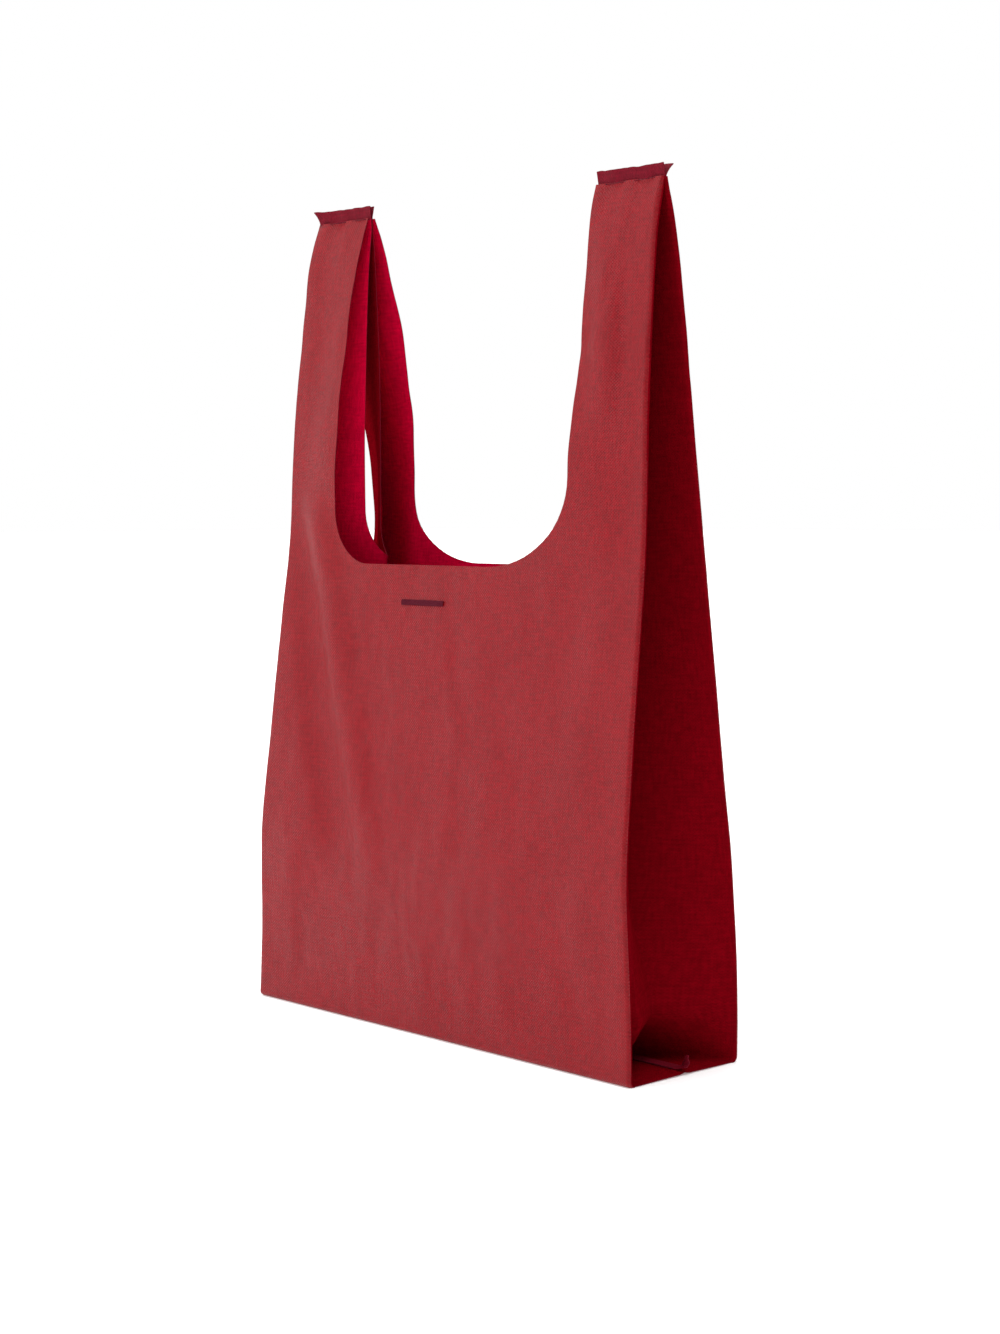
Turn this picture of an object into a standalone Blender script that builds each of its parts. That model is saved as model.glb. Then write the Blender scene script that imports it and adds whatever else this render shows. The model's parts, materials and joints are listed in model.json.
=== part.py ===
"""A foldable shopping tote cut like a supermarket vest bag: two panels, folded side gussets and two loop handles.

The bag stands open on its base. X runs across the front panel, -Y is the front and +Z is up.
The origin is the middle of the base's underside. All sizes are in metres.
"""

import math

import bmesh
import bpy

# Driving dimensions
WIDTH = 0.385
BASE_DEPTH = 0.101
HEIGHT = 0.592
MOUTH_HEIGHT = 0.330
STRAP_WIDTH = 0.063
MOUTH_CORNER = 0.036
SEAM_ALLOWANCE = 0.009
FABRIC = 0.0008
GAP = 0.0004

# Heights that part the moving pieces: the fabric between them flexes at the crease
CREASE_HEIGHT = 0.400
STUB_TOP = 0.365
STRAP_START = 0.455
SEAM_HEIGHT = HEIGHT - SEAM_ALLOWANCE

# Shape of the standing bag, as (height, size) pairs joined by straight runs
HALF_DEPTH = (
    (0.0, BASE_DEPTH / 2),
    (0.08, 0.0535),
    (0.13, 0.0530),
    (0.20, 0.0460),
    (MOUTH_HEIGHT, 0.0315),
    (CREASE_HEIGHT, 0.0256),
    (0.44, 0.0225),
    (0.505, 0.0165),
    (0.565, 0.0080),
    (SEAM_HEIGHT, 0.0022),
)
FOLD_X = (
    (0.0, WIDTH / 2),
    (0.13, WIDTH / 2 - 0.001),
    (0.20, WIDTH / 2 - 0.004),
    (MOUTH_HEIGHT, WIDTH / 2 - 0.009),
    (0.44, WIDTH / 2 - 0.0135),
    (SEAM_HEIGHT, WIDTH / 2 - 0.0185),
)
CREASE_INSET = (
    (0.0, 0.090),
    (0.05, 0.022),
    (0.13, 0.047),
    (MOUTH_HEIGHT, 0.080),
    (CREASE_HEIGHT, 0.090),
    (SEAM_HEIGHT, 0.110),
)
STRAP_FLARE = (
    (MOUTH_HEIGHT, 0.0),
    (STUB_TOP, 0.006),
    (CREASE_HEIGHT, 0.009),
    (0.505, 0.006),
    (0.565, 0.002),
    (SEAM_HEIGHT, 0.0),
)
LAYER_STEP = FABRIC + GAP
PANEL_LEVELS = (0.0, 0.04, 0.08, 0.13, 0.20, 0.26, 0.30, MOUTH_HEIGHT, 0.35, STUB_TOP)
GUSSET_LEVELS = (LAYER_STEP, 0.025, 0.05, 0.09, 0.13, 0.20, 0.27, MOUTH_HEIGHT)
ROOT_LEVELS = (STUB_TOP, 0.385, CREASE_HEIGHT, 0.44, STRAP_START)
STRAP_LEVELS = (STRAP_START, 0.48, 0.505, 0.535, 0.565, SEAM_HEIGHT)

MARK_CENTRE = (-0.024, 0.3035)
MARK_SIZE = (0.044, 0.0006, 0.005)
FRONT, BACK = -1, 1
SIDES = {"left": -1, "right": 1}


def at_height(table, z):
    """The size that a (height, size) table gives at height z."""
    for (z0, a), (z1, b) in zip(table, table[1:]):
        if z <= z1:
            return a + (b - a) * max(0.0, (z - z0) / (z1 - z0))
    return table[-1][1]


def make_material(name, colour, roughness):
    material = bpy.data.materials.new(name)
    material.use_nodes = True
    shader = material.node_tree.nodes["Principled BSDF"]
    shader.inputs["Base Color"].default_value = (*colour, 1.0)
    shader.inputs["Roughness"].default_value = roughness
    shader.inputs["Metallic"].default_value = 0.0
    return material


def add_object(name, mesh, collection, material=None):
    obj = bpy.data.objects.new(name, mesh)
    collection.objects.link(obj)
    if material:
        mesh.materials.append(material)
    return obj


def add_sheet(name, across, levels, place, material, parent=None):
    """A fabric piece: a grid with one row at each height in levels, bent to shape by place(u, z), then thickened."""
    grid = bmesh.new()
    bmesh.ops.create_grid(grid, x_segments=across, y_segments=len(levels) - 1, size=0.5)
    for vertex in grid.verts:
        row = round((vertex.co.y + 0.5) * (len(levels) - 1))
        vertex.co = place(vertex.co.x + 0.5, levels[row])
    mesh = bpy.data.meshes.new(name)
    grid.to_mesh(mesh)
    grid.free()
    obj = add_object(name, mesh, parts, material)
    thicken = obj.modifiers.new("Fabric", "SOLIDIFY")
    thicken.thickness = FABRIC
    thicken.offset = 0.0
    obj.parent = parent
    return obj


def add_box(name, size, centre, material, parent=None):
    bpy.ops.mesh.primitive_cube_add(size=1.0, location=centre)
    obj = bpy.context.object
    obj.name = name
    obj.scale = size
    bpy.ops.object.transform_apply(location=False, rotation=False, scale=True)
    obj.data.materials.append(material)
    for owner in obj.users_collection:
        owner.objects.unlink(obj)
    parts.objects.link(obj)
    obj.parent = parent
    return obj


def add_mouth_cutter():
    """The round-cornered notch between the handles, run through both panels."""
    half = at_height(FOLD_X, MOUTH_HEIGHT) - STRAP_WIDTH
    top = STUB_TOP + 0.02
    corner = [
        (
            half - MOUTH_CORNER + MOUTH_CORNER * math.sin(angle),
            MOUTH_HEIGHT + MOUTH_CORNER - MOUTH_CORNER * math.cos(angle),
        )
        for angle in (math.pi / 2 * step / 8 for step in range(9))
    ]
    right = [*corner, (half, top)]
    outline = right + [(-x, z) for x, z in reversed(right)]
    curve = bpy.data.curves.new("mouth_outline", "CURVE")
    curve.dimensions = "2D"
    curve.fill_mode = "BOTH"
    curve.extrude = BASE_DEPTH
    spline = curve.splines.new("POLY")
    spline.points.add(len(outline) - 1)
    for point, (x, z) in zip(spline.points, outline):
        point.co = (x, z, 0.0, 1.0)
    spline.use_cyclic_u = True
    guide = bpy.data.objects.new("mouth_guide", curve)
    cutters.objects.link(guide)
    guide.rotation_euler = (math.pi / 2, 0.0, 0.0)
    bpy.context.view_layer.update()
    graph = bpy.context.evaluated_depsgraph_get()
    mesh = bpy.data.meshes.new_from_object(guide.evaluated_get(graph))
    whole = bmesh.new()
    whole.from_mesh(mesh)
    bmesh.ops.remove_doubles(whole, verts=whole.verts, dist=1e-6)
    bmesh.ops.recalc_face_normals(whole, faces=whole.faces)
    whole.to_mesh(mesh)
    whole.free()
    cutter = add_object("mouth_cutter", mesh, cutters)
    cutter.matrix_world = guide.matrix_world
    cutter.hide_render = True
    cutter.display_type = "WIRE"
    bpy.data.objects.remove(guide)
    return cutter


def panel_place(face):
    """A whole panel: full width, with the flare that its straps take towards their cut edges."""

    def place(u, z):
        fold = at_height(FOLD_X, z)
        x = (2 * u - 1) * fold
        inward = min(1.0, (fold - abs(x)) / STRAP_WIDTH)
        flare = at_height(STRAP_FLARE, z) * inward if z > MOUTH_HEIGHT else 0.0
        return (x, face * (at_height(HALF_DEPTH, z) + flare), z)

    return place


def strap_place(face, side):
    """The outer layer of one handle, from its fold (u = 0) to its cut edge (u = 1)."""

    def place(u, z):
        x = side * (at_height(FOLD_X, z) - u * STRAP_WIDTH)
        return (x, face * (at_height(HALF_DEPTH, z) + u * at_height(STRAP_FLARE, z)), z)

    return place


def gusset_place(face, side, reach):
    """Half a gusset, folded in from the outer fold (u = 0). reach(z) is how far in it runs at u = 1."""

    def place(u, z):
        inward = u * reach(z)
        outer = at_height(HALF_DEPTH, z) - LAYER_STEP
        share = 1 - inward / at_height(CREASE_INSET, z)
        return (
            side * (at_height(FOLD_X, z) - inward),
            face * max(LAYER_STEP * 0.85, outer * share),
            z,
        )

    return place


def base_place(face):
    """Half of the base, flat on the ground, from the panel's foot to the bottom seam in the middle."""

    def place(u, y_share):
        edge, seam = BASE_DEPTH / 2 - LAYER_STEP, LAYER_STEP / 2
        y = face * (edge + (seam - edge) * y_share)
        return ((2 * u - 1) * (WIDTH / 2 - LAYER_STEP), y, FABRIC / 2)

    return place


def lifted(levels, bottom=0.0, top=0.0):
    """levels with its first height raised and its last lowered, which leaves a gap to the neighbours."""
    return (levels[0] + bottom, *levels[1:-1], levels[-1] - top)


def add_panels(cutter):
    for name, face, parent in (("front_panel", FRONT, front_crease), ("back_panel", BACK, None)):
        levels = lifted(PANEL_LEVELS, top=GAP / 2)
        panel = add_sheet(name, 24, levels, panel_place(face), shell_fabric, parent)
        cut = panel.modifiers.new("Mouth", "BOOLEAN")
        cut.operation = "DIFFERENCE"
        cut.solver = "EXACT"
        cut.object = cutter


def add_gussets():
    for side_name, side in SIDES.items():
        for face_name, face in (("front", FRONT), ("back", BACK)):
            place = gusset_place(face, side, lambda z: at_height(CREASE_INSET, z))
            add_sheet(f"{side_name}_gusset_{face_name}", 6, GUSSET_LEVELS, place, lining_side)


def add_base():
    for name, face in (("base_front", FRONT), ("base_back", BACK)):
        add_sheet(name, 8, (0.0, 0.5, 1.0), base_place(face), shell_fabric)
    length = WIDTH - 2 * at_height(CREASE_INSET, 0.0) - 4 * LAYER_STEP
    height = SEAM_ALLOWANCE
    centre = (0.0, 0.0, FABRIC + GAP + height / 2)
    add_box("base_seam_allowance", (length, 2 * FABRIC, height), centre, shell_fabric)
    thread_y = -(FABRIC + GAP + FABRIC / 2)
    thread_size = (length - 0.004, FABRIC, FABRIC)
    add_box("base_seam_thread", thread_size, (0.0, thread_y, centre[2] - height / 4), thread)


def add_handle(side_name, side, hinge):
    """One loop: an outer strap and a gusset strip at the front and the back, closed by the seam at the top."""
    for face_name, face in (("front", FRONT), ("back", BACK)):
        strip = gusset_place(face, side, lambda z: STRAP_WIDTH)
        stub_levels = (MOUTH_HEIGHT, 0.35, *ROOT_LEVELS)
        layers = (
            ("strap", strap_place(face, side), ROOT_LEVELS, shell_fabric),
            ("strip", strip, stub_levels, lining_side),
        )
        for layer, place, root_levels, material in layers:
            name = f"{side_name}_{face_name}_{layer}"
            below = lifted(root_levels, bottom=GAP, top=GAP / 2)
            above = lifted(STRAP_LEVELS, bottom=GAP / 2)
            add_sheet(f"{name}_root", 4, below, place, material)
            add_sheet(name, 4, above, place, material, hinge)
    x = side * (at_height(FOLD_X, SEAM_HEIGHT) - STRAP_WIDTH / 2)
    flange_height = SEAM_ALLOWANCE - GAP
    flange_size = (STRAP_WIDTH, 4 * FABRIC, flange_height)
    flange_centre = (x, 0.0, HEIGHT - flange_height / 2)
    add_box(f"{side_name}_top_seam_allowance", flange_size, flange_centre, shell_fabric, hinge)
    thread_y = -(flange_size[1] / 2 + GAP + FABRIC / 2)
    thread_size = (STRAP_WIDTH - 0.004, FABRIC, FABRIC)
    thread_centre = (x, thread_y, SEAM_HEIGHT + FABRIC + GAP)
    add_box(f"{side_name}_top_seam_thread", thread_size, thread_centre, thread, hinge)


def add_mark():
    """A plain stitched bar below the mouth, standing proud of the front panel."""
    x, z = MARK_CENTRE
    low, high = z - MARK_SIZE[2] / 2, z + MARK_SIZE[2] / 2
    stand_off = FABRIC / 2 + GAP + MARK_SIZE[1] / 2
    lean = math.atan2(at_height(HALF_DEPTH, low) - at_height(HALF_DEPTH, high), MARK_SIZE[2])
    y = -at_height(HALF_DEPTH, z) - stand_off / math.cos(lean)
    mark = add_box("stitched_mark", MARK_SIZE, (x, y, z), thread, front_crease)
    mark.rotation_euler = (-lean, 0.0, 0.0)


def add_hinge(name, location):
    empty = bpy.data.objects.new(name, None)
    empty.matrix_world.translation = location
    parts.objects.link(empty)
    return empty


def keep_places():
    """Parents an object without moving it: the parents are unrotated empties."""
    bpy.context.view_layer.update()
    for obj in parts.objects:
        if obj.parent:
            obj.matrix_parent_inverse = obj.parent.matrix_world.inverted()


for old in list(bpy.data.objects):
    bpy.data.objects.remove(old)

parts = bpy.data.collections.new("foldable_tote_bag")
cutters = bpy.data.collections.new("cutters")
bpy.context.scene.collection.children.link(parts)
bpy.context.scene.collection.children.link(cutters)

shell_fabric = make_material("shell_fabric", (0.37, 0.030, 0.045), 0.55)
lining_side = make_material("lining_side", (0.45, 0.004, 0.035), 0.45)
thread = make_material("thread", (0.10, 0.006, 0.018), 0.70)

front_crease = add_hinge("front_crease", (0.0, -at_height(HALF_DEPTH, CREASE_HEIGHT), CREASE_HEIGHT))
add_panels(add_mouth_cutter())
add_gussets()
add_base()
add_mark()
for handle_name, handle_side in SIDES.items():
    crease = add_hinge(f"{handle_name}_handle_crease", (0.0, 0.0, CREASE_HEIGHT))
    add_handle(handle_name, handle_side, crease)
keep_places()
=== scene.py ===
"""The looks of the foldable tote bag, in a white studio.

It is thin woven cloth with soft folds, raw seam flanges and stitches.
"""

import json
import math

import bmesh
import bpy
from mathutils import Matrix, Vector, noise


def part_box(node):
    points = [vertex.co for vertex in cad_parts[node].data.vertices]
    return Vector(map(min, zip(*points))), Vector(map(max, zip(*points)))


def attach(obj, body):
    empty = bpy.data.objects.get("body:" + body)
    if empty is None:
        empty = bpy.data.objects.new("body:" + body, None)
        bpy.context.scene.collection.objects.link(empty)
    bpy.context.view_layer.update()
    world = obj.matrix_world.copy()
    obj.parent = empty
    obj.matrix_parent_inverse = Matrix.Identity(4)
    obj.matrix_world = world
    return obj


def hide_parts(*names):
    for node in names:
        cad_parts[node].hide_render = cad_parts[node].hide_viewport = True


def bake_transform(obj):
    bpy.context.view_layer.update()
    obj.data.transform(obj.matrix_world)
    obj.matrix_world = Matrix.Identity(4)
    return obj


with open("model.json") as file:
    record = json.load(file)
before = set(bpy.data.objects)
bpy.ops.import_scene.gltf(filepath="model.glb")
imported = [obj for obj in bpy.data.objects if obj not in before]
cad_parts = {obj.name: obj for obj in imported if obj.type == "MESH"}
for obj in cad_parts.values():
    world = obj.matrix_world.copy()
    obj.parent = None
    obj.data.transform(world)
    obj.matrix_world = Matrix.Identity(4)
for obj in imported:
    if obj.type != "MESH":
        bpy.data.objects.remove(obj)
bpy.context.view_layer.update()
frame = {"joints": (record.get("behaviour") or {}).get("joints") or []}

# Sizes that come from the frame
CREASE_Z = frame["joints"][0]["pos_m"][2]
MOUTH_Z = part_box("left_gusset_front")[1].z
HALF_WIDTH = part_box("front_panel")[1].x
SEAM_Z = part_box("left_front_strap")[1].z

# The cloth
CLOTH = 0.0005
FLANGE_CLOTH = 0.0007
SEAM_FLANGE = 0.0085
STRAP_WIDTH = 0.0625
STRAP_TOP_WIDTH = 0.0590
CORNER_RISE = 0.060
OUTSIDE, INSIDE, EDGE, STRIP = range(4)
FLANGE = 0.0088
BASE_ROUND = 0.0035
FOLD_ROUND = 0.0022
STEP = 0.0032
FRONT, BACK = -1, 1
LEFT, RIGHT = -1, 1
SIDE_NAMES = {LEFT: "left", RIGHT: "right"}
FACE_NAMES = {FRONT: "front", BACK: "back"}


def smooth_curve(*points):
    """A function through (height, size) points that doesn't overshoot between them."""
    slopes = [(b[1] - a[1]) / (b[0] - a[0]) for a, b in zip(points, points[1:])]
    tangents = [slopes[0]]
    for before, after in zip(slopes, slopes[1:]):
        same_way = before * after > 0
        tangents.append(2 * before * after / (before + after) if same_way else 0.0)
    tangents.append(slopes[-1])

    def value(z):
        if z <= points[0][0]:
            return points[0][1]
        if z >= points[-1][0]:
            return points[-1][1]
        k = max(i for i, point in enumerate(points[:-1]) if point[0] <= z)
        (z0, a), (z1, b) = points[k], points[k + 1]
        t, run = (z - z0) / (z1 - z0), z1 - z0
        return (
            (2 * t**3 - 3 * t**2 + 1) * a
            + (t**3 - 2 * t**2 + t) * run * tangents[k]
            + (3 * t**2 - 2 * t**3) * b
            + (t**3 - t**2) * run * tangents[k + 1]
        )

    return value


fold_x = smooth_curve(
    (0.0, HALF_WIDTH + 0.001),
    (0.12, HALF_WIDTH - 0.003),
    (0.20, HALF_WIDTH - 0.006),
    (MOUTH_Z, HALF_WIDTH - 0.009),
    (0.44, HALF_WIDTH - 0.0135),
    (SEAM_Z, HALF_WIDTH - 0.0185),
)
depth_above_base = smooth_curve(
    (0.0, 0.0535),
    (0.075, 0.0540),
    (0.12, 0.0535),
    (0.20, 0.0460),
    (0.278, 0.0375),
    (MOUTH_Z, 0.0315),
    (CREASE_Z, 0.0256),
    (0.44, 0.0225),
    (0.506, 0.0165),
    (0.545, 0.0118),
    (0.568, 0.0070),
    (SEAM_Z, 0.0019),
)
crease_inset = smooth_curve(
    (0.0, 0.090),
    (0.031, 0.033),
    (0.036, 0.0290),
    (0.080, 0.0400),
    (0.13, 0.054),
    (0.22, 0.066),
    (MOUTH_Z, 0.080),
    (CREASE_Z, 0.090),
    (SEAM_Z, 0.105),
)
left_flare = smooth_curve(
    (0.30, 0.0),
    (0.36, 0.006),
    (0.40, 0.0090),
    (0.44, 0.0085),
    (0.50, 0.0050),
    (SEAM_Z, 0.0),
)
right_flare = smooth_curve(
    (0.30, 0.0),
    (0.36, 0.006),
    (0.40, 0.0070),
    (0.44, 0.0025),
    (0.50, -0.0015),
    (SEAM_Z, 0.0),
)
strap_width = smooth_curve((0.44, STRAP_WIDTH), (SEAM_Z, STRAP_TOP_WIDTH))


def bump(t):
    """A smooth hill: 1 at t = 0, 0 beyond t = 1 either way."""
    return (1 - t * t) ** 2 if abs(t) < 1 else 0.0


def ease(t):
    t = min(1.0, max(0.0, t))
    return t * t * (3 - 2 * t)


def half_depth(z):
    """Half of the bag's depth at height z, with the foot of each panel rounded under."""
    depth = depth_above_base(z)
    if z < BASE_ROUND:
        depth -= BASE_ROUND - math.sqrt(BASE_ROUND**2 - (BASE_ROUND - z) ** 2)
    return depth


def corner_size(side, face):
    """The mouth's round corner, (across, up). Only the front left one is drawn tight."""
    return (0.036, 0.038) if (side, face) == (LEFT, FRONT) else (0.080, CORNER_RISE)


def cut_inset(side, face, z):
    """How far the cloth reaches in from its outer fold where the mouth and the handles are cut."""
    across, up = corner_size(side, face)
    if z <= MOUTH_Z:
        return strap_width(z) + across
    rise = min(1.0, (z - MOUTH_Z) / up)
    return strap_width(z) + across * (1 - math.sqrt(1 - (1 - rise) ** 2))


# Soft folds, as displacements out of the cloth


def crumple(x, z, seed, size):
    """Gentle creases of the given size in metres, the same on each run."""
    p = Vector((x / size, z / (1.6 * size), seed))
    warp = noise.noise(p * 0.6 + Vector((3.1, 7.7, seed)))
    return noise.noise(p + Vector((warp, 0.5 * warp, 0.0)))


def mouth_ripple(x, z, seed):
    below = MOUTH_Z - z
    fade = math.exp(-below / 0.022) if below > 0 else math.exp(below / 0.006)
    wave = math.sin(x / 0.0135 + 2.2 * noise.noise(Vector((x * 21, seed, 0))))
    return 0.0007 * wave * fade


def front_folds(x, z):
    """The front panel's long soft fold below the left handle, and the puckers round the stitched bar."""
    drop = MOUTH_Z - z
    ridge_x = -0.134 + 0.33 * drop
    fade = ease((z - 0.085) / 0.10) * (1 - 0.75 * ease((z - 0.36) / 0.05))
    ridge = 0.0042 * bump((x - ridge_x) / 0.024)
    ridge -= 0.0040 * bump((x - ridge_x + 0.034) / 0.026)
    side_fold = 0.0016 * bump((x - 0.150 + 0.10 * drop) / 0.022) * bump((z - 0.27) / 0.12)
    mark_low, mark_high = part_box("stitched_mark")
    mark_x, mark_z = (mark_low.x + mark_high.x) / 2, (mark_low.z + mark_high.z) / 2
    under = mark_z - z
    pucker = math.cos((x - mark_x) / 0.0032) * bump((x - mark_x) / 0.030)
    pucker *= bump((under - 0.006) / 0.016)
    return ridge * fade + side_fold + 0.00035 * pucker


def back_folds(x, z):
    fade = ease((z - 0.06) / 0.10)
    ridge = 0.0035 * bump((x - 0.10 + 0.25 * (MOUTH_Z - z)) / 0.026)
    hollow = -0.0030 * bump((x + 0.03 - 0.35 * (MOUTH_Z - z)) / 0.045) * bump((z - 0.20) / 0.16)
    return (ridge + hollow) * fade


def panel_bulge(face, x, z):
    edge = 1 - ease((abs(x) - fold_x(z) + 0.035) / 0.035)
    calm = ease(z / 0.03) * (1 - 0.6 * ease((z - 0.30) / 0.05))
    soft = 0.0030 * crumple(x, z, 4.0 + face, 0.11) + 0.0014 * crumple(x, z, 9.0 + face, 0.034)
    soft += 0.0005 * crumple(x, z, 15.0 + face, 0.012)
    folds = front_folds(x, z) if face == FRONT else back_folds(x, z)
    return soft * calm * (0.35 + 0.65 * edge) + folds * (0.2 + 0.8 * edge) + mouth_ripple(x, z, face)


def strap_bulge(face, side, inset, z):
    """Folds of a handle's outer layer. They grow from nothing at the crease, where it joins its panel."""
    grown = ease((z - CREASE_Z) / 0.05)
    gather = 0.0011 * math.sin(inset / 0.0042 + side) * math.exp(-(SEAM_Z - z) / 0.016)
    soft = 0.0018 * crumple(inset + side, z, 13.0 + face, 0.05)
    soft += 0.0006 * crumple(inset, z, 17.0 + side, 0.014)
    line = 0.036 + 0.05 * (z - 0.41)
    oblique = 0.0046 * bump((inset - line) / 0.020) * bump((z - 0.48) / 0.10)
    if side == LEFT:
        oblique = -0.0020 * bump((inset - 0.03) / 0.022) * bump((z - 0.49) / 0.09)
    hem = bump((inset - strap_width(z)) / 0.012) * 0.0006 * math.sin(z / 0.011 + face + side)
    return (gather + soft + oblique + hem) * grown


# Where the cloth lies: each function gives points in the bag's frame


def panel_point(face, side, inset, z):
    """A point on a panel or on a handle's outer layer, inset metres in from the outer fold."""
    x = fold_x(z) - inset
    flare = 0.0
    if z > 0.30:
        flare_at = left_flare if side == LEFT else right_flare
        flare = flare_at(z) * ease(inset / strap_width(z)) * ease((0.19 - inset) / 0.10)
    out = half_depth(z) + flare
    if z < CREASE_Z:
        fade = 1 - ease((z - CREASE_Z + 0.05) / 0.05)
        out += panel_bulge(face, side * x, z) * fade
    else:
        out += strap_bulge(face, side, inset, z)
    return Vector((side * x, face * out, z))


def fold_point(face, side, turn, z):
    """A point on the round outer fold: turn 0 is on the panel, a quarter turn at the very edge."""
    radius = min(FOLD_ROUND, 0.45 * half_depth(z))
    middle_x, middle_y = fold_x(z) - radius, half_depth(z) - radius
    x = middle_x + radius * math.sin(turn)
    return Vector((side * x, face * (middle_y + radius * math.cos(turn)), z))


def fold_end(z):
    """The turn in radians where the fold's round ends and the gusset's flat begins."""
    radius = min(FOLD_ROUND, 0.45 * half_depth(z))
    slope = math.atan2(half_depth(z) - radius, crease_inset(z))
    return math.pi - slope


def gusset_bulge(face, side, share, z):
    calm = ease(z / 0.04) * (1 - ease((z - CREASE_Z + 0.04) / 0.04) * 0.8)
    soft = 0.0030 * crumple(share * 0.09 + side, z, 21.0 + face, 0.06)
    sag = 0.0035 * math.sin(math.pi * share) * bump((z - 0.17) / 0.14)
    knee = 0.0
    if face == FRONT:
        below_line = 0.135 - 0.24 * share - z
        knee = -0.010 * ease(below_line / 0.030) * ease(share / 0.25) * ease(z / 0.03)
    return (soft * math.sin(math.pi * min(1.0, share)) + sag) * calm + knee


def gusset_point(face, side, share, z, reach=None):
    """A point on half a gusset: share 0 is where the outer fold ends, 1 is the centre crease or the cut."""
    start = fold_point(face, side, fold_end(z), z)
    level = z
    if z < 0.10:
        level = z + 0.005 * (1 - share) * (1 - z / 0.10)
    inset = crease_inset(level)
    crease = Vector((side * (fold_x(z) - inset), 0.0, z))
    part = share if reach is None else share * reach / inset
    point = start.lerp(crease, min(1.0, part))
    out = gusset_bulge(face, side, min(1.0, part), z) * (1 - part)
    point.x += side * out
    floor_y = 0.0006 * (1 - ease((0.55 - z) / 0.1))
    point.y = face * max(abs(point.y), floor_y)
    return point


def lean(point):
    """The bag's slight lean: its foot bellies back, the handles lean left, the left back fold splays."""
    x, y, z = point
    lift = ease((z - 0.34) / 0.10)
    shift_x = (-0.0048 if x < 0 else -0.0008) * lift
    shift_y = 0.0022 * bump((z - 0.05) / 0.085)
    if x < 0 and y > 0:
        shift_x += 0.0095 * ease(y / 0.018) * bump((z - 0.46) / 0.14) * ease((x + 0.170) / 0.04)
    outer = ease((-x - 0.105) / 0.075) * ease(y / 0.018)
    splay = ease((z - 0.24) / 0.13) * (1 - ease((z - 0.40) / 0.15))
    return Vector((x + shift_x + 0.010 * outer * splay, y + shift_y + 0.022 * outer * splay, z))


# Building cloth pieces


def add_piece(name, rows, materials):
    """A cloth surface from rows of (point, (u, v)) pairs, with its outside, inside and edge materials."""
    mesh = bpy.data.meshes.new(name)
    work = bmesh.new()
    layer = work.loops.layers.uv.new("cloth")
    made = [[work.verts.new(lean(point)) for point, _ in row] for row in rows]
    for r in range(len(rows) - 1):
        for c in range(len(rows[0]) - 1):
            corners = ((r, c), (r, c + 1), (r + 1, c + 1), (r + 1, c))
            face = work.faces.new([made[i][j] for i, j in corners])
            face.smooth = True
            for loop, (i, j) in zip(face.loops, corners):
                loop[layer].uv = rows[i][j][1]
    work.to_mesh(mesh)
    work.free()
    for material in materials:
        mesh.materials.append(material)
    obj = bpy.data.objects.new(name, mesh)
    bpy.context.scene.collection.objects.link(obj)
    return obj


def thicken(obj, thickness=CLOTH):
    """Gives a cloth surface its thickness, with its raw edges shaded flat and sharp."""
    solid = obj.modifiers.new("Thickness", "SOLIDIFY")
    solid.thickness = thickness
    solid.offset = 0.0
    solid.material_offset = INSIDE
    solid.material_offset_rim = EDGE
    graph = bpy.context.evaluated_depsgraph_get()
    thick = bpy.data.meshes.new_from_object(obj.evaluated_get(graph))
    obj.modifiers.clear()
    obj.data = thick
    work = bmesh.new()
    work.from_mesh(thick)
    for edge in work.edges:
        kinds = {face.material_index == EDGE for face in edge.link_faces}
        edge.smooth = len(kinds) < 2
    for face in work.faces:
        face.smooth = face.material_index != EDGE
    work.to_mesh(thick)
    work.free()
    return obj


def spread(start, end, step):
    """Evenly spaced values from start to end, both included, about a step apart."""
    count = max(1, round(abs(end - start) / step))
    return [start + (end - start) * k / count for k in range(count + 1)]


def heights(low, high):
    """Row heights, closer together at the base's round and where the mouth's corners curve."""
    base = [BASE_ROUND * (1 - math.cos(a)) for a in spread(0.0, math.pi / 2, 0.26)]
    corners = [MOUTH_Z + CORNER_RISE * (1 - math.cos(a)) for a in spread(0.0, math.pi / 2, 0.10)]
    rows = base + spread(BASE_ROUND + STEP, MOUTH_Z - STEP, STEP) + corners
    rows += spread(MOUTH_Z + CORNER_RISE + STEP, CREASE_Z, STEP)
    rows += spread(CREASE_Z, SEAM_Z, STEP)[1:]
    return [z for z in rows if low - 1e-6 <= z <= high + 1e-6]


def strap_columns(side, face, z):
    """Insets from the cut edge (or its place below the mouth) out to where the fold's round begins."""
    radius = min(FOLD_ROUND, 0.45 * half_depth(z))
    inner = cut_inset(side, face, z)
    return [inner + (radius - inner) * k / 26 for k in range(27)]


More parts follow.
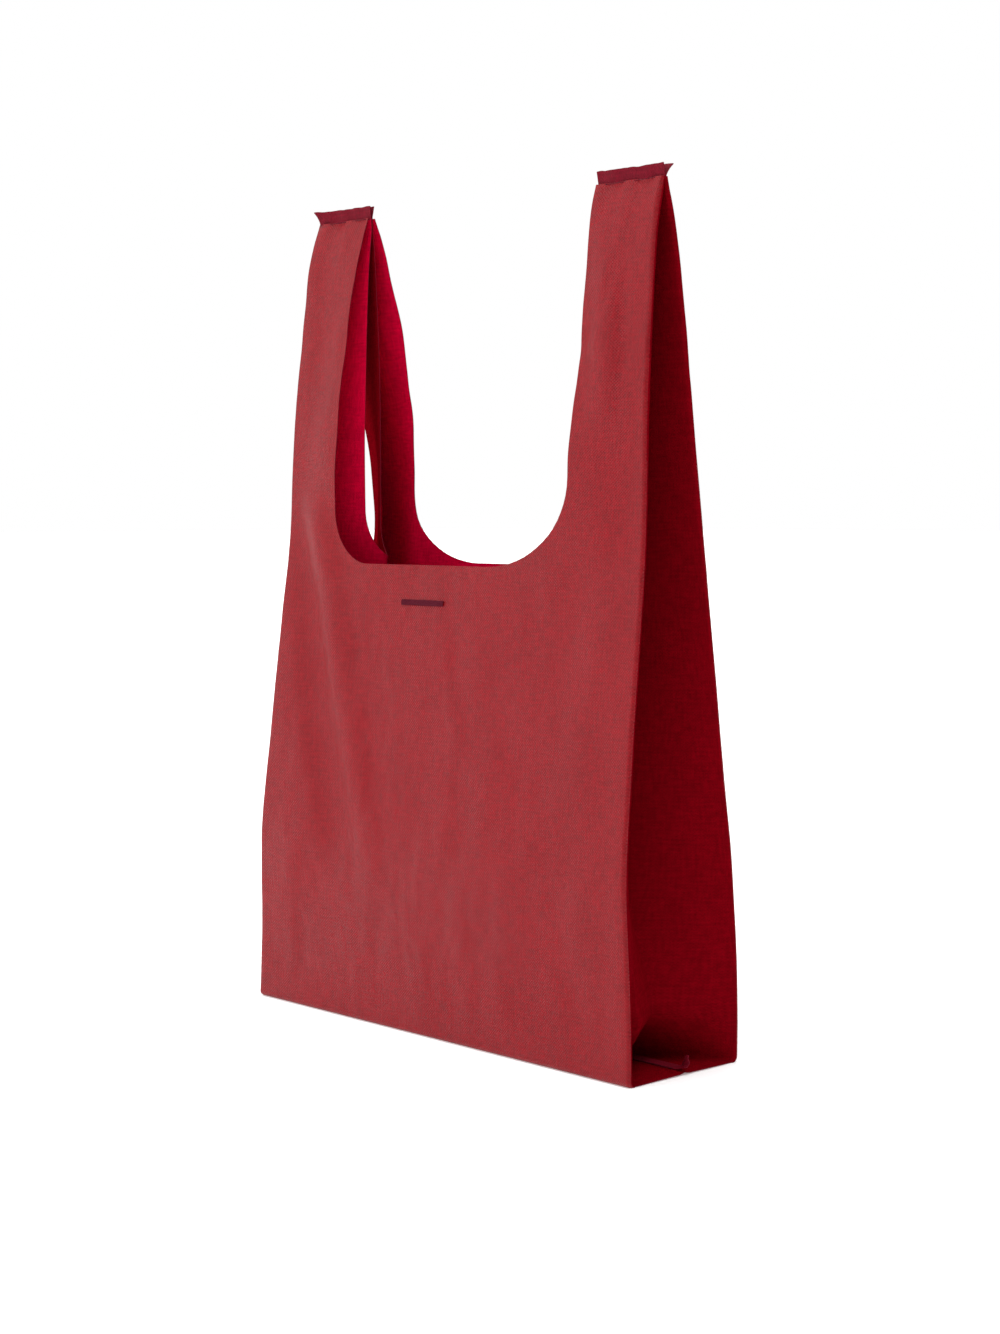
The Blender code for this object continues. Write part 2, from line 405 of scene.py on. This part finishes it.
def add_panel(face):
    """One whole panel from its foot to the handles' crease. Its middle stops at the mouth."""
    turns = spread(0.0, math.pi / 2, 0.32)[1:]
    rows_of = {LEFT: [], RIGHT: []}
    middle = []
    for z in heights(0.0, CREASE_Z):
        for side in (LEFT, RIGHT):
            row = []
            for inset in strap_columns(side, face, z):
                point = panel_point(face, side, inset, z)
                row.append((point, (side * (fold_x(z) - inset), z)))
            edge_gap = fold_point(face, side, 0.0, z).y - row[-1][0].y
            for turn in turns:
                point = fold_point(face, side, turn, z)
                point.y -= edge_gap * math.cos(turn)
                row.append((point, (side * (fold_x(z) - FOLD_ROUND * (1 - turn)), z)))
            rows_of[side].append(row if side * face < 0 else row[::-1])
        if z <= MOUTH_Z + 1e-6:
            start = -(fold_x(z) - cut_inset(LEFT, face, z))
            end = fold_x(z) - cut_inset(RIGHT, face, z)
            row = []
            for k in range(61):
                x = start + (end - start) * k / 60
                side = LEFT if x < 0 else RIGHT
                row.append((panel_point(face, side, fold_x(z) - abs(x), z), (x, z)))
            middle.append(row if face == FRONT else row[::-1])
    parts = []
    for side in (LEFT, RIGHT):
        parts.append(add_piece(f"zone_{side}", rows_of[side], shell_cloth))
    parts.append(add_piece("zone_middle", middle, shell_cloth))
    return thicken(join_zones(f"{FACE_NAMES[face]}_panel_cloth", parts, face))


def join_zones(name, parts, face):
    """Makes one mesh of zones that share their edges, all facing out of the bag."""
    work = bmesh.new()
    for part in parts:
        work.from_mesh(part.data)
    bmesh.ops.remove_doubles(work, verts=work.verts, dist=2e-5)
    bmesh.ops.recalc_face_normals(work, faces=work.faces)
    facing = sum(f.normal.y * face * f.calc_area() for f in work.faces)
    if facing < 0:
        bmesh.ops.reverse_faces(work, faces=work.faces)
    keep = parts[0]
    work.to_mesh(keep.data)
    work.free()
    for part in parts[1:]:
        bpy.data.objects.remove(part)
    keep.name = name
    keep.data.name = name
    return keep


def face_outward(obj, direction_of):
    """Turns the whole piece round if its faces point against direction_of(centre)."""
    work = bmesh.new()
    work.from_mesh(obj.data)
    bmesh.ops.recalc_face_normals(work, faces=work.faces)
    facing = sum(f.normal.dot(direction_of(f.calc_center_median())) * f.calc_area() for f in work.faces)
    if facing < 0:
        bmesh.ops.reverse_faces(work, faces=work.faces)
    work.to_mesh(obj.data)
    work.free()


def add_gusset(side):
    """One side's gusset from the base to the handles' crease, cut with a round corner like the mouth."""
    parts = []
    for face in (FRONT, BACK):
        rows = []
        for z in heights(0.0, CREASE_Z):
            row = []
            for k in range(5):
                turn = math.pi / 2 + (fold_end(z) - math.pi / 2) * k / 4
                row.append((fold_point(face, side, turn, z), (-FOLD_ROUND * (turn - 1.57), z)))
            reach = min(crease_inset(z), cut_inset(side, FRONT, z))
            open_here = reach < crease_inset(z) - 1e-6
            for k in range(1, 25):
                share = k / 24
                point = gusset_point(face, side, share, z, reach if open_here else None)
                if k == 24 and not open_here:
                    point.y = 0.0
                row.append((point, (share * reach, z)))
            rows.append(row)
        parts.append(add_piece(f"half_{side}_{face}", rows, side_cloth))
    obj = join_zones(f"{SIDE_NAMES[side]}_painted_shade_cloth", parts, BACK)
    face_outward(obj, lambda centre: Vector((side, 0.0, 0.0)))
    return thicken(obj)


def add_leg(side, face):
    """Half a handle as one folded cloth: its outer layer, the outer fold and the gusset strip behind."""
    rows = []
    for z in heights(CREASE_Z, SEAM_Z):
        row = []
        for inset in strap_columns(side, face, z):
            point = panel_point(face, side, inset, z)
            row.append((point, (side * (fold_x(z) - inset), z)))
        edge_gap = fold_point(face, side, 0.0, z).y - row[-1][0].y
        for k in range(1, 10):
            turn = fold_end(z) * k / 9
            point = fold_point(face, side, turn, z)
            point.y -= edge_gap * max(0.0, math.cos(turn))
            row.append((point, (side * (fold_x(z) + FOLD_ROUND * turn), z)))
        reach = cut_inset(side, face, z)
        for k in range(1, 21):
            point = gusset_point(face, side, k / 20, z, reach)
            row.append((point, (side * (fold_x(z) + reach * k / 20), z)))
        rows.append(row)
    name = f"{SIDE_NAMES[side]}_{FACE_NAMES[face]}_leg_cloth"
    obj = add_piece(name, rows, shell_cloth)

    def away(centre):
        line = half_depth(centre.z) * 0.55 * face
        return Vector((0.0, 1.0 if centre.y > line else -1.0, 0.0))

    face_outward(obj, away)
    thicken(obj)
    # The gusset strip behind the handle takes the darker cloth of painted shade.
    obj.data.materials.append(painted_shade_cloth)
    strip_start = FOLD_ROUND * 1.6
    layer = obj.data.uv_layers["cloth"].data
    for polygon in obj.data.polygons:
        across = max(abs(layer[i].uv.x) for i in polygon.loop_indices)
        on_strip = across > fold_x(polygon.center.z) + strip_start
        if polygon.material_index == OUTSIDE and on_strip:
            polygon.material_index = STRIP
    return obj


def add_flange(side, face):
    """The raw seam allowance that stands up along a handle's top, a little wavy and curled at its ends."""
    rows = []
    low_x = fold_x(SEAM_Z) - strap_width(SEAM_Z)
    for height in spread(-0.0012, FLANGE, 0.0009):
        row = []
        rise = max(0.0, height / FLANGE)
        for k in range(61):
            across = k / 60
            x = low_x + (fold_x(SEAM_Z) - low_x) * across
            wave = 0.0009 * math.sin(across * 11 + side * 2 + face)
            wave += 0.0009 * math.sin(across * 23 + face)
            flick = 0.0045 * bump((1 - across) / 0.18) * (1 if face == side else 0.35)
            out = 0.0006 + rise * (0.0010 + wave * 0.5 + flick * rise)
            lift = 0.0006 * noise.noise(Vector((across * 9, side, face))) * rise
            stretch = side * 0.0022 * rise * (across - 0.35)
            tilt = -side * 0.0015 * across
            top = SEAM_Z + height + lift + tilt * 0.3
            point = Vector((side * x + stretch, face * out + wave * rise, top))
            row.append((point, (x, SEAM_Z + height)))
        rows.append(row)
    name = f"{SIDE_NAMES[side]}_{FACE_NAMES[face]}_top_flange"
    obj = add_piece(name, rows, hem_cloth)
    face_outward(obj, lambda centre: Vector((0.0, face, 0.0)))
    return thicken(obj, FLANGE_CLOTH)


def add_stitches(name, start, end, count, radius):
    """A row of short thread stitches between two points, each a small arch out to the front."""
    start, end = Vector(start), Vector(end)
    pitch = (end - start) / count
    out = Vector((0.0, -1.0, 0.0))
    curve = bpy.data.curves.new(name, "CURVE")
    curve.dimensions = "3D"
    curve.bevel_depth = radius
    curve.bevel_resolution = 2
    curve.use_fill_caps = True
    for k in range(count):
        spline = curve.splines.new("POLY")
        spline.points.add(6)
        first = start + pitch * (k + 0.10)
        for j, point in enumerate(spline.points):
            t = j / 6
            arch = radius * 1.6 * math.sin(math.pi * t) - 0.3 * radius
            place = first + pitch * 0.80 * t + out * arch
            point.co = (*lean(place), 1.0)
    obj = bpy.data.objects.new(name, curve)
    bpy.context.scene.collection.objects.link(obj)
    curve.materials.append(thread_material)
    return obj


def add_base():
    """The flat base with the bottom seam's shallow ridge across its middle."""
    edge = half_depth(0.0)
    rows = []
    for y in spread(-edge, edge, 0.0025):
        row = []
        for k in range(121):
            x = (2 * k / 120 - 1) * fold_x(0.0)
            lift = 0.0009 * bump(y / 0.004)
            lift += 0.0004 * (1 + crumple(x, y, 31.0, 0.05)) * bump(y / edge)
            row.append((Vector((x, y, CLOTH / 2 + lift)), (x, y)))
        rows.append(row)
    obj = add_piece("base_cloth", rows, base_fabric)
    face_outward(obj, lambda centre: Vector((0.0, 0.0, -1.0)))
    return thicken(obj)


def add_base_flange():
    """The bottom seam's raw allowance. It lies back over the base and curls up at its two ends."""
    rows = []
    reach = fold_x(0.0) + 0.0025
    for height in spread(0.0, SEAM_FLANGE, 0.0009):
        row = []
        for k in range(121):
            x = (2 * k / 120 - 1) * reach
            end = ease((abs(x) - 0.183) / 0.012)
            tilt = math.radians(86 - 66 * end + 8 * noise.noise(Vector((x * 14, 0, 3))))
            y = -0.001 + height * math.sin(tilt) + 0.0015 * end * math.sin(height / 0.0016)
            z = 0.0021 + height * math.cos(tilt) + 0.0030 * end * end
            row.append((Vector((x, y, z)), (x, height)))
        rows.append(row)
    obj = add_piece("base_seam_flange", rows, hem_cloth)
    face_outward(obj, lambda centre: Vector((0.0, -0.3, 1.0)))
    return thicken(obj, FLANGE_CLOTH)


def add_mark():
    """A plain satin-stitched bar: threads side by side, standing on the front panel."""
    low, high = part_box("stitched_mark")
    curve = bpy.data.curves.new("stitched_bar", "CURVE")
    curve.dimensions = "3D"
    curve.bevel_depth = 0.00026
    curve.bevel_resolution = 2
    curve.use_fill_caps = True
    count = round((high.x - low.x) / 0.00048)
    for k in range(count + 1):
        x = low.x + (high.x - low.x) * k / count
        spline = curve.splines.new("POLY")
        spline.points.add(4)
        for j, point in enumerate(spline.points):
            t = j / 4
            z = low.z + 0.0006 + (high.z - low.z - 0.0012) * t
            z += 0.00018 * noise.noise(Vector((k * 1.3, 0, t)))
            surface = panel_point(FRONT, LEFT if x < 0 else RIGHT, fold_x(z) - abs(x), z)
            rise = CLOTH / 2 + 0.0005 + 0.00035 * math.sin(math.pi * t)
            point.co = (*lean(Vector((x, surface.y - rise, z))), 1.0)
    obj = bpy.data.objects.new("stitched_bar", curve)
    bpy.context.scene.collection.objects.link(obj)
    curve.materials.append(thread_material)
    return obj


# Materials


def link_math(tree, operation, first, second):
    node = tree.nodes.new("ShaderNodeMath")
    node.operation = operation
    for socket, value in zip(node.inputs, (first, second)):
        if isinstance(value, (int, float)):
            socket.default_value = value
        elif value is not None:
            tree.links.new(value, socket)
    return node.outputs[0]


def make_cloth(name, colour, roughness, gloss, weave, pitch=0.0011):
    """Woven cloth: a plain weave of the given pitch in metres, uneven threads, and faint broad shading."""
    material = bpy.data.materials.new(name)
    material.use_nodes = True
    tree = material.node_tree
    shader = tree.nodes["Principled BSDF"]
    shader.inputs["Specular IOR Level"].default_value = gloss
    uv = tree.nodes.new("ShaderNodeUVMap")
    uv.uv_map = "cloth"
    split = tree.nodes.new("ShaderNodeSeparateXYZ")
    tree.links.new(uv.outputs["UV"], split.inputs[0])
    across = link_math(tree, "SINE", link_math(tree, "MULTIPLY", split.outputs[0], math.pi / pitch), None)
    along = link_math(tree, "SINE", link_math(tree, "MULTIPLY", split.outputs[1], math.pi / pitch), None)
    checks = link_math(tree, "MULTIPLY", across, along)

    def threads(scale):
        stretch = tree.nodes.new("ShaderNodeMapping")
        stretch.inputs["Scale"].default_value = scale
        tree.links.new(uv.outputs["UV"], stretch.inputs["Vector"])
        texture = tree.nodes.new("ShaderNodeTexNoise")
        texture.inputs["Scale"].default_value = 1.0
        texture.inputs["Detail"].default_value = 2.0
        tree.links.new(stretch.outputs[0], texture.inputs["Vector"])
        return texture.outputs["Fac"]

    slubs = link_math(tree, "ADD", threads((100, 620, 1)), threads((620, 100, 1)))
    broad = threads((18, 18, 1))
    height = link_math(tree, "ADD", link_math(tree, "MULTIPLY", checks, 0.5), slubs)
    height = link_math(tree, "ADD", height, threads((700, 700, 1)))
    relief = tree.nodes.new("ShaderNodeBump")
    relief.inputs["Strength"].default_value = weave
    relief.inputs["Distance"].default_value = 0.00022
    tree.links.new(height, relief.inputs["Height"])
    tree.links.new(relief.outputs[0], shader.inputs["Normal"])
    shade = link_math(tree, "ADD", link_math(tree, "MULTIPLY", checks, 0.12), slubs)
    shade = link_math(tree, "ADD", shade, link_math(tree, "MULTIPLY", broad, 0.35))
    shine = link_math(tree, "MULTIPLY", threads((46, 9, 1)), -0.34)
    tree.links.new(link_math(tree, "ADD", shine, roughness + 0.17), shader.inputs["Roughness"])
    ramp = tree.nodes.new("ShaderNodeValToRGB")
    dark, light = ramp.color_ramp.elements
    dark.position, light.position = 0.38, 0.62
    dark.color = (*[c * 0.80 for c in colour], 1.0)
    light.color = (*[min(1.0, c * 1.20) for c in colour], 1.0)
    tree.links.new(link_math(tree, "MULTIPLY", shade, 0.425), ramp.inputs["Fac"])
    tree.links.new(ramp.outputs["Color"], shader.inputs["Base Color"])
    return material


def make_thread():
    material = bpy.data.materials.new("sewing_thread")
    material.use_nodes = True
    tree = material.node_tree
    shader = tree.nodes["Principled BSDF"]
    shader.inputs["Roughness"].default_value = 0.60
    shader.inputs["Specular IOR Level"].default_value = 0.08
    twist = tree.nodes.new("ShaderNodeTexWave")
    twist.inputs["Scale"].default_value = 900.0
    twist.inputs["Distortion"].default_value = 2.0
    place = tree.nodes.new("ShaderNodeTexCoord")
    tree.links.new(place.outputs["Object"], twist.inputs["Vector"])
    ramp = tree.nodes.new("ShaderNodeValToRGB")
    ramp.color_ramp.elements[0].color = (0.060, 0.003, 0.010, 1.0)
    ramp.color_ramp.elements[1].color = (0.125, 0.010, 0.024, 1.0)
    tree.links.new(twist.outputs["Fac"], ramp.inputs["Fac"])
    tree.links.new(ramp.outputs["Color"], shader.inputs["Base Color"])
    relief = tree.nodes.new("ShaderNodeBump")
    relief.inputs["Strength"].default_value = 0.5
    relief.inputs["Distance"].default_value = 0.0001
    tree.links.new(twist.outputs["Fac"], relief.inputs["Height"])
    tree.links.new(relief.outputs[0], shader.inputs["Normal"])
    return material


# Studio


def add_studio():
    white = bpy.data.materials.new("studio_white")
    white.use_nodes = True
    shader = white.node_tree.nodes["Principled BSDF"]
    shader.inputs["Base Color"].default_value = (0.96, 0.96, 0.96, 1.0)
    shader.inputs["Roughness"].default_value = 0.9
    shader.inputs["Specular IOR Level"].default_value = 0.1
    shader.inputs["Emission Color"].default_value = (1.0, 1.0, 1.0, 1.0)
    shader.inputs["Emission Strength"].default_value = 0.25
    bpy.ops.mesh.primitive_plane_add(size=60.0, location=(0.0, 0.0, -0.0004))
    floor = bpy.context.object
    floor.name = "studio_floor"
    floor.data.materials.append(white)
    world = bpy.data.worlds.new("studio")
    world.use_nodes = True
    tree = world.node_tree
    lit = tree.nodes["Background"]
    place = tree.nodes.new("ShaderNodeTexCoord")
    towards = tree.nodes.new("ShaderNodeVectorMath")
    towards.operation = "DOT_PRODUCT"
    towards.inputs[1].default_value = (-0.62, -0.68, 0.38)
    tree.links.new(place.outputs["Generated"], towards.inputs[0])
    fall = tree.nodes.new("ShaderNodeMapRange")
    fall.inputs["From Min"].default_value = -0.55
    fall.inputs["From Max"].default_value = 0.85
    fall.inputs["To Min"].default_value = 0.08
    fall.inputs["To Max"].default_value = 0.95
    tree.links.new(towards.outputs["Value"], fall.inputs["Value"])
    tree.links.new(fall.outputs["Result"], lit.inputs["Strength"])
    backdrop = tree.nodes.new("ShaderNodeBackground")
    backdrop.inputs["Strength"].default_value = 1.0
    seen = tree.nodes.new("ShaderNodeLightPath")
    both = tree.nodes.new("ShaderNodeMixShader")
    tree.links.new(seen.outputs["Is Camera Ray"], both.inputs["Fac"])
    tree.links.new(lit.outputs[0], both.inputs[1])
    tree.links.new(backdrop.outputs[0], both.inputs[2])
    tree.links.new(both.outputs[0], tree.nodes["World Output"].inputs["Surface"])
    lit.inputs["Color"].default_value = (1.0, 1.0, 1.0, 1.0)
    backdrop.inputs["Color"].default_value = (1.0, 1.0, 1.0, 1.0)
    bpy.context.scene.world = world
    key_data = bpy.data.lights.new("key", "AREA")
    key_data.size = 0.8
    key_data.energy = 14.0
    key = bpy.data.objects.new("key", key_data)
    key.location = (-1.5, -1.9, 1.5)
    key.rotation_euler = (Vector((0, 0, 0.3)) - key.location).to_track_quat("-Z", "Y").to_euler()
    bpy.context.scene.collection.objects.link(key)
    top_data = bpy.data.lights.new("top", "SUN")
    top_data.energy = 2.6
    top_data.angle = math.radians(70)
    top = bpy.data.objects.new("top", top_data)
    bpy.context.scene.collection.objects.link(top)
    bpy.context.scene.view_settings.view_transform = "Standard"


def add_camera():
    data = bpy.data.cameras.new("camera")
    data.lens = 61.09
    data.sensor_width = 36.0
    data.clip_end = 100.0
    camera = bpy.data.objects.new("camera", data)
    camera.location = (1.173, -1.0886, 0.3692)
    camera.rotation_euler = (math.radians(90 - 3.983), 0.0, math.radians(46.689))
    bpy.context.scene.collection.objects.link(camera)
    bpy.context.scene.camera = camera


add_camera()
add_studio()
outer_cloth = make_cloth("outer_cloth", (0.222, 0.0012, 0.0055), 0.40, 0.20, 1.0)
# Painted shade: a darker, glossless copy of the outer cloth, used for the gussets, the handles' gusset
# strips and the base's inside.
painted_shade_cloth = make_cloth("painted_shade_cloth", (0.170, 0.0008, 0.0045), 0.50, 0.0, 0.50)
# The inside's own saturated crimson, made brighter as painted light for the glow of light shining through
# the thin cloth.
inner_cloth_and_painted_glow = make_cloth("inner_cloth_and_painted_glow", (0.58, 0.0012, 0.034), 0.55, 0.0, 0.20)
# Raw edges and seam flanges: a darker cloth, part of whose darkness is painted shade for the base flange in
# its recess.
edge_cloth_and_painted_shade = make_cloth("edge_cloth_and_painted_shade", (0.150, 0.0020, 0.0110), 0.70, 0.10, 0.40)
shell_cloth = (outer_cloth, inner_cloth_and_painted_glow, edge_cloth_and_painted_shade)
side_cloth = (painted_shade_cloth, inner_cloth_and_painted_glow, edge_cloth_and_painted_shade)
base_fabric = (outer_cloth, painted_shade_cloth, edge_cloth_and_painted_shade)
hem_cloth = (edge_cloth_and_painted_shade, edge_cloth_and_painted_shade, edge_cloth_and_painted_shade)
thread_material = make_thread()

for panel_face, panel_body in ((FRONT, "front"), (BACK, "root")):
    cloth = add_panel(panel_face)
    if panel_face == FRONT:
        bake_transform(cloth)
    else:
        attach(cloth, panel_body)
    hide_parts(f"{FACE_NAMES[panel_face]}_panel")

for gusset_side in (LEFT, RIGHT):
    side_name = SIDE_NAMES[gusset_side]
    cloth = add_gusset(gusset_side)
    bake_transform(cloth)
    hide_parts(f"{side_name}_gusset_front", f"{side_name}_gusset_back")

cloth = add_base()
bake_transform(cloth)
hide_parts("base_front", "base_back")
2 * fold_x(0.0)
2 * half_depth(0.0)
flange = add_base_flange()
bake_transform(flange)
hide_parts("base_seam_allowance")
2 * fold_x(0.0)
left_end = (-0.185, -0.0022, 0.0030)
right_end = (0.185, -0.0022, 0.0030)
stitches = add_stitches("base_seam_stitches", left_end, right_end, 110, 0.00028)
row_mesh = bpy.data.meshes.new_from_object(stitches)
stitch_mesh = bpy.data.objects.new("base_seam_thread_row", row_mesh)
bpy.context.scene.collection.objects.link(stitch_mesh)
bpy.data.objects.remove(stitches)
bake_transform(stitch_mesh)
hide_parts("base_seam_thread")

mark = add_mark()
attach(mark, "front")
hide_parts("stitched_mark")

for handle_side in (LEFT, RIGHT):
    side_name = SIDE_NAMES[handle_side]
    handle = f"{side_name}_handle"
    for leg_face in (FRONT, BACK):
        face_name = FACE_NAMES[leg_face]
        cloth = add_leg(handle_side, leg_face)
        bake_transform(cloth)
        layers = [f"{side_name}_{face_name}_{layer}" for layer in ("strap", "strip")]
        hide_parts(*layers, *[f"{layer}_root" for layer in layers])
        flange = add_flange(handle_side, leg_face)
        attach(flange, handle)
        if leg_face == FRONT:
            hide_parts(f"{side_name}_top_seam_allowance")
    inner_x = handle_side * (fold_x(SEAM_Z) - STRAP_TOP_WIDTH + 0.002)
    outer_x = handle_side * (fold_x(SEAM_Z) - 0.002)
    inner_end = (inner_x, -0.0026, SEAM_Z - 0.0006)
    outer_end = (outer_x, -0.0026, SEAM_Z - 0.0006)
    stitches = add_stitches(f"{side_name}_top_stitches", inner_end, outer_end, 19, 0.00025)
    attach(stitches, handle)
    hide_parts(f"{side_name}_top_seam_thread")
